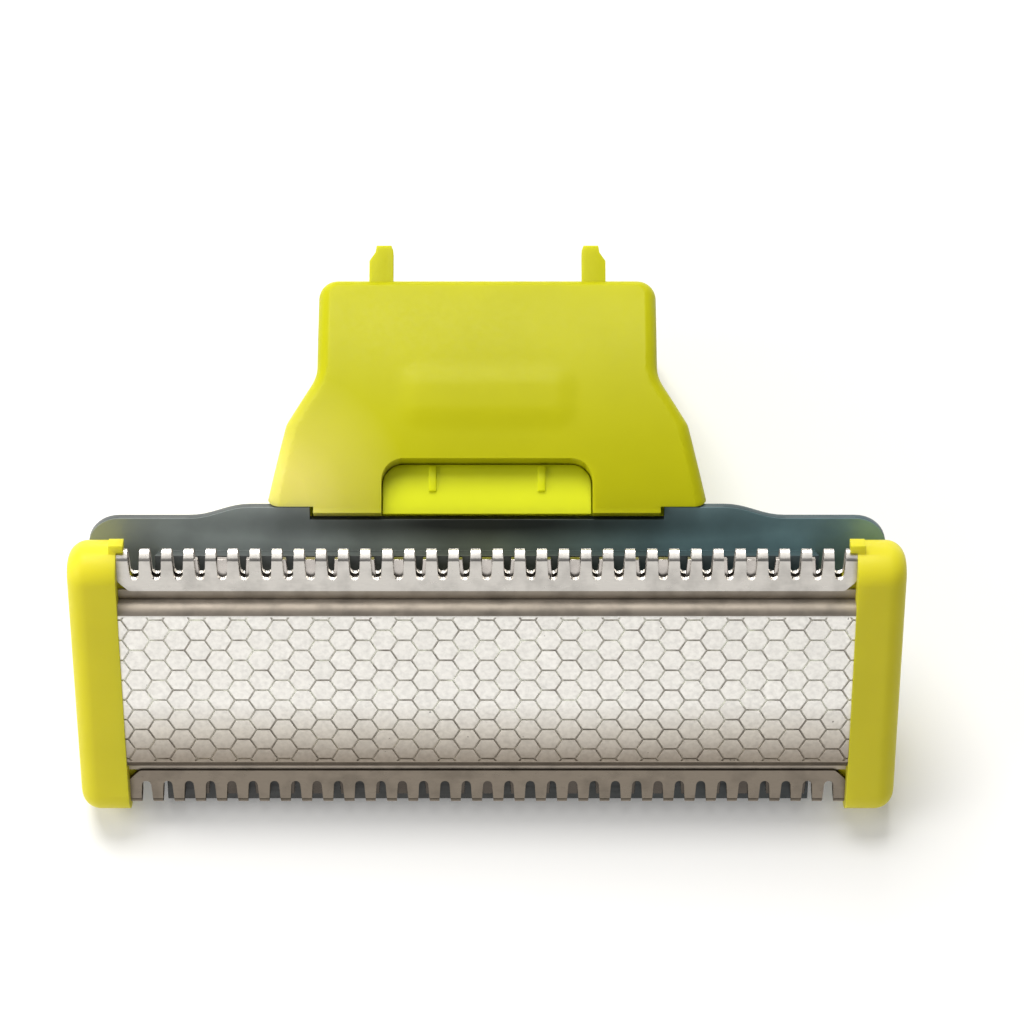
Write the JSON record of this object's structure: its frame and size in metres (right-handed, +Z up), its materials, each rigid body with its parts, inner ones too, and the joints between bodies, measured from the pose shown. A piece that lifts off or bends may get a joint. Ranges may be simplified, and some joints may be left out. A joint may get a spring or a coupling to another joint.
{
  "type": "shaver head",
  "caption": "Push-fit shaver head with a flared lime holder, a sprung tilting blade unit, folded tooth combs, a honeycomb plate and a cutter that slides behind the combs",
  "frame": {"origin": "Middle of the holder's flat back, on the surface it lies on", "axes": "+X along the blades, +Y along the holder's neck towards the handle, +Z up from the back"},
  "size_m": [0.0342, 0.0227, 0.0101],
  "materials": {
    "lime_plastic": "satin moulded, slightly translucent",
    "dark_plastic": "fine matte",
    "white_plastic": "smooth",
    "plate_steel": "satin, etched cells",
    "comb_steel": "satin",
    "cutter_steel": "ground",
    "spring_steel": "rolled",
    "pin_steel": "polished"
  },
  "bodies": {
    "holder": {"holder_shell": "lime_plastic", "inner_cover": "lime_plastic", "holder_back": "lime_plastic", "lever_pin": "pin_steel", "swivel_pin_left": "pin_steel", "swivel_pin_right": "pin_steel", "tilt_spring_left": "spring_steel", "tilt_spring_right": "spring_steel"},
    "drive_lever": {"drive_lever": "white_plastic"},
    "blade_frame": {"carrier": "dark_plastic", "end_guard_left": "lime_plastic", "end_guard_right": "lime_plastic", "upper_comb": "comb_steel", "lower_comb": "comb_steel", "honeycomb_plate": "plate_steel", "pressure_spring": "spring_steel"},
    "cutter": {"cutter_blade": "cutter_steel", "drive_bridge": "white_plastic"}
  },
  "joints": [
    {"name": "blade_tilt", "type": "hinge", "parent": "holder", "child": "blade_frame", "pos_m": [0, -0.00556, 0.00341], "axis": [1, 0, 0], "range_deg": [0, 20], "stiffness_Nm_per_rad": 0.01, "springref_deg": -11.46, "deforming": ["tilt_spring_left", "tilt_spring_right"]},
    {"name": "lever_swing", "type": "hinge", "parent": "holder", "child": "drive_lever", "pos_m": [0, -0.00216, 0.00341], "axis": [0, 0, 1], "range_deg": [-20.3, 0.1]},
    {"name": "cutter_slide", "type": "slide", "parent": "blade_frame", "child": "cutter", "axis": [1, 0, 0], "range_m": [-0.0012, 0]}
  ],
  "couplings": [
    {"joint": "lever_swing", "follows": "cutter_slide", "rad_per_m": 294.12}
  ]
}
